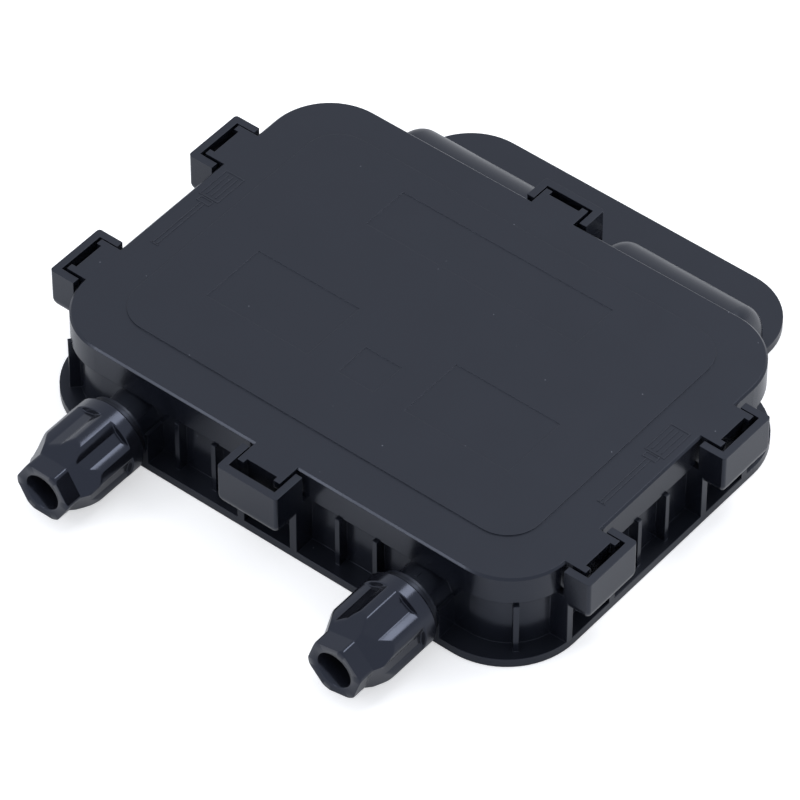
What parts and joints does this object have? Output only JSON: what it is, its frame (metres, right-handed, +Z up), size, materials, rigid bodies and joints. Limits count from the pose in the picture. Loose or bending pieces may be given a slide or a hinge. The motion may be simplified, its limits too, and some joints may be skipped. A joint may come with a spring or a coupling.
{
  "type": "pv junction box",
  "caption": "Flat solar junction box with a click-fit lid, side latch pockets, rear ribbon windows and cable glands along its front edge.",
  "frame": {"origin": "middle of the lid in plan, on the glue face", "axes": "+Z up out of the glue face, -Y towards the glands, +X to the right seen from the glands"},
  "size_m": [0.1544, 0.1607, 0.0249],
  "materials": {
    "housing": "fine matt moulded PPE",
    "nut": "glossy moulded polyamide",
    "cage": "moulded polyamide",
    "silicone": "moulded silicone",
    "copper": "tin-plated copper",
    "spring": "stamped stainless spring strip",
    "epoxy": "moulded epoxy"
  },
  "bodies": {
    "base": {"base_housing": "housing", "gland_washer_left": "silicone", "gland_seal_left": "silicone", "gland_cage_left": "cage", "cable_crimp_left": "copper", "gland_washer_right": "silicone", "gland_seal_right": "silicone", "gland_cage_right": "cage", "cable_crimp_right": "copper", "terminal_rail_1": "copper", "ribbon_clip_1": "spring", "terminal_rail_2": "copper", "ribbon_clip_2": "spring", "terminal_rail_3": "copper", "ribbon_clip_3": "spring", "terminal_rail_4": "copper", "ribbon_clip_4": "spring", "bypass_diode_1": "epoxy", "diode_leads_1": "copper", "bypass_diode_2": "epoxy", "diode_leads_2": "copper", "bypass_diode_3": "epoxy", "diode_leads_3": "copper"},
    "cover": {"lid": "housing", "lid_gasket": "silicone"},
    "nut_left": {"gland_nut_left": "nut"},
    "nut_right": {"gland_nut_right": "nut"}
  },
  "joints": [
    {"name": "lid_lift", "type": "slide", "parent": "base", "child": "cover", "axis": [0, 0, 1], "range_m": [0, 0.03]},
    {"name": "nut_left_turn", "type": "hinge", "parent": "base", "child": "nut_left", "pos_m": [-0.0418, -0.0688, 0.0105], "axis": [0, -1, 0], "range_deg": [0, 810]},
    {"name": "nut_right_turn", "type": "hinge", "parent": "base", "child": "nut_right", "pos_m": [0.0418, -0.0688, 0.0105], "axis": [0, -1, 0], "range_deg": [0, 810]}
  ]
}
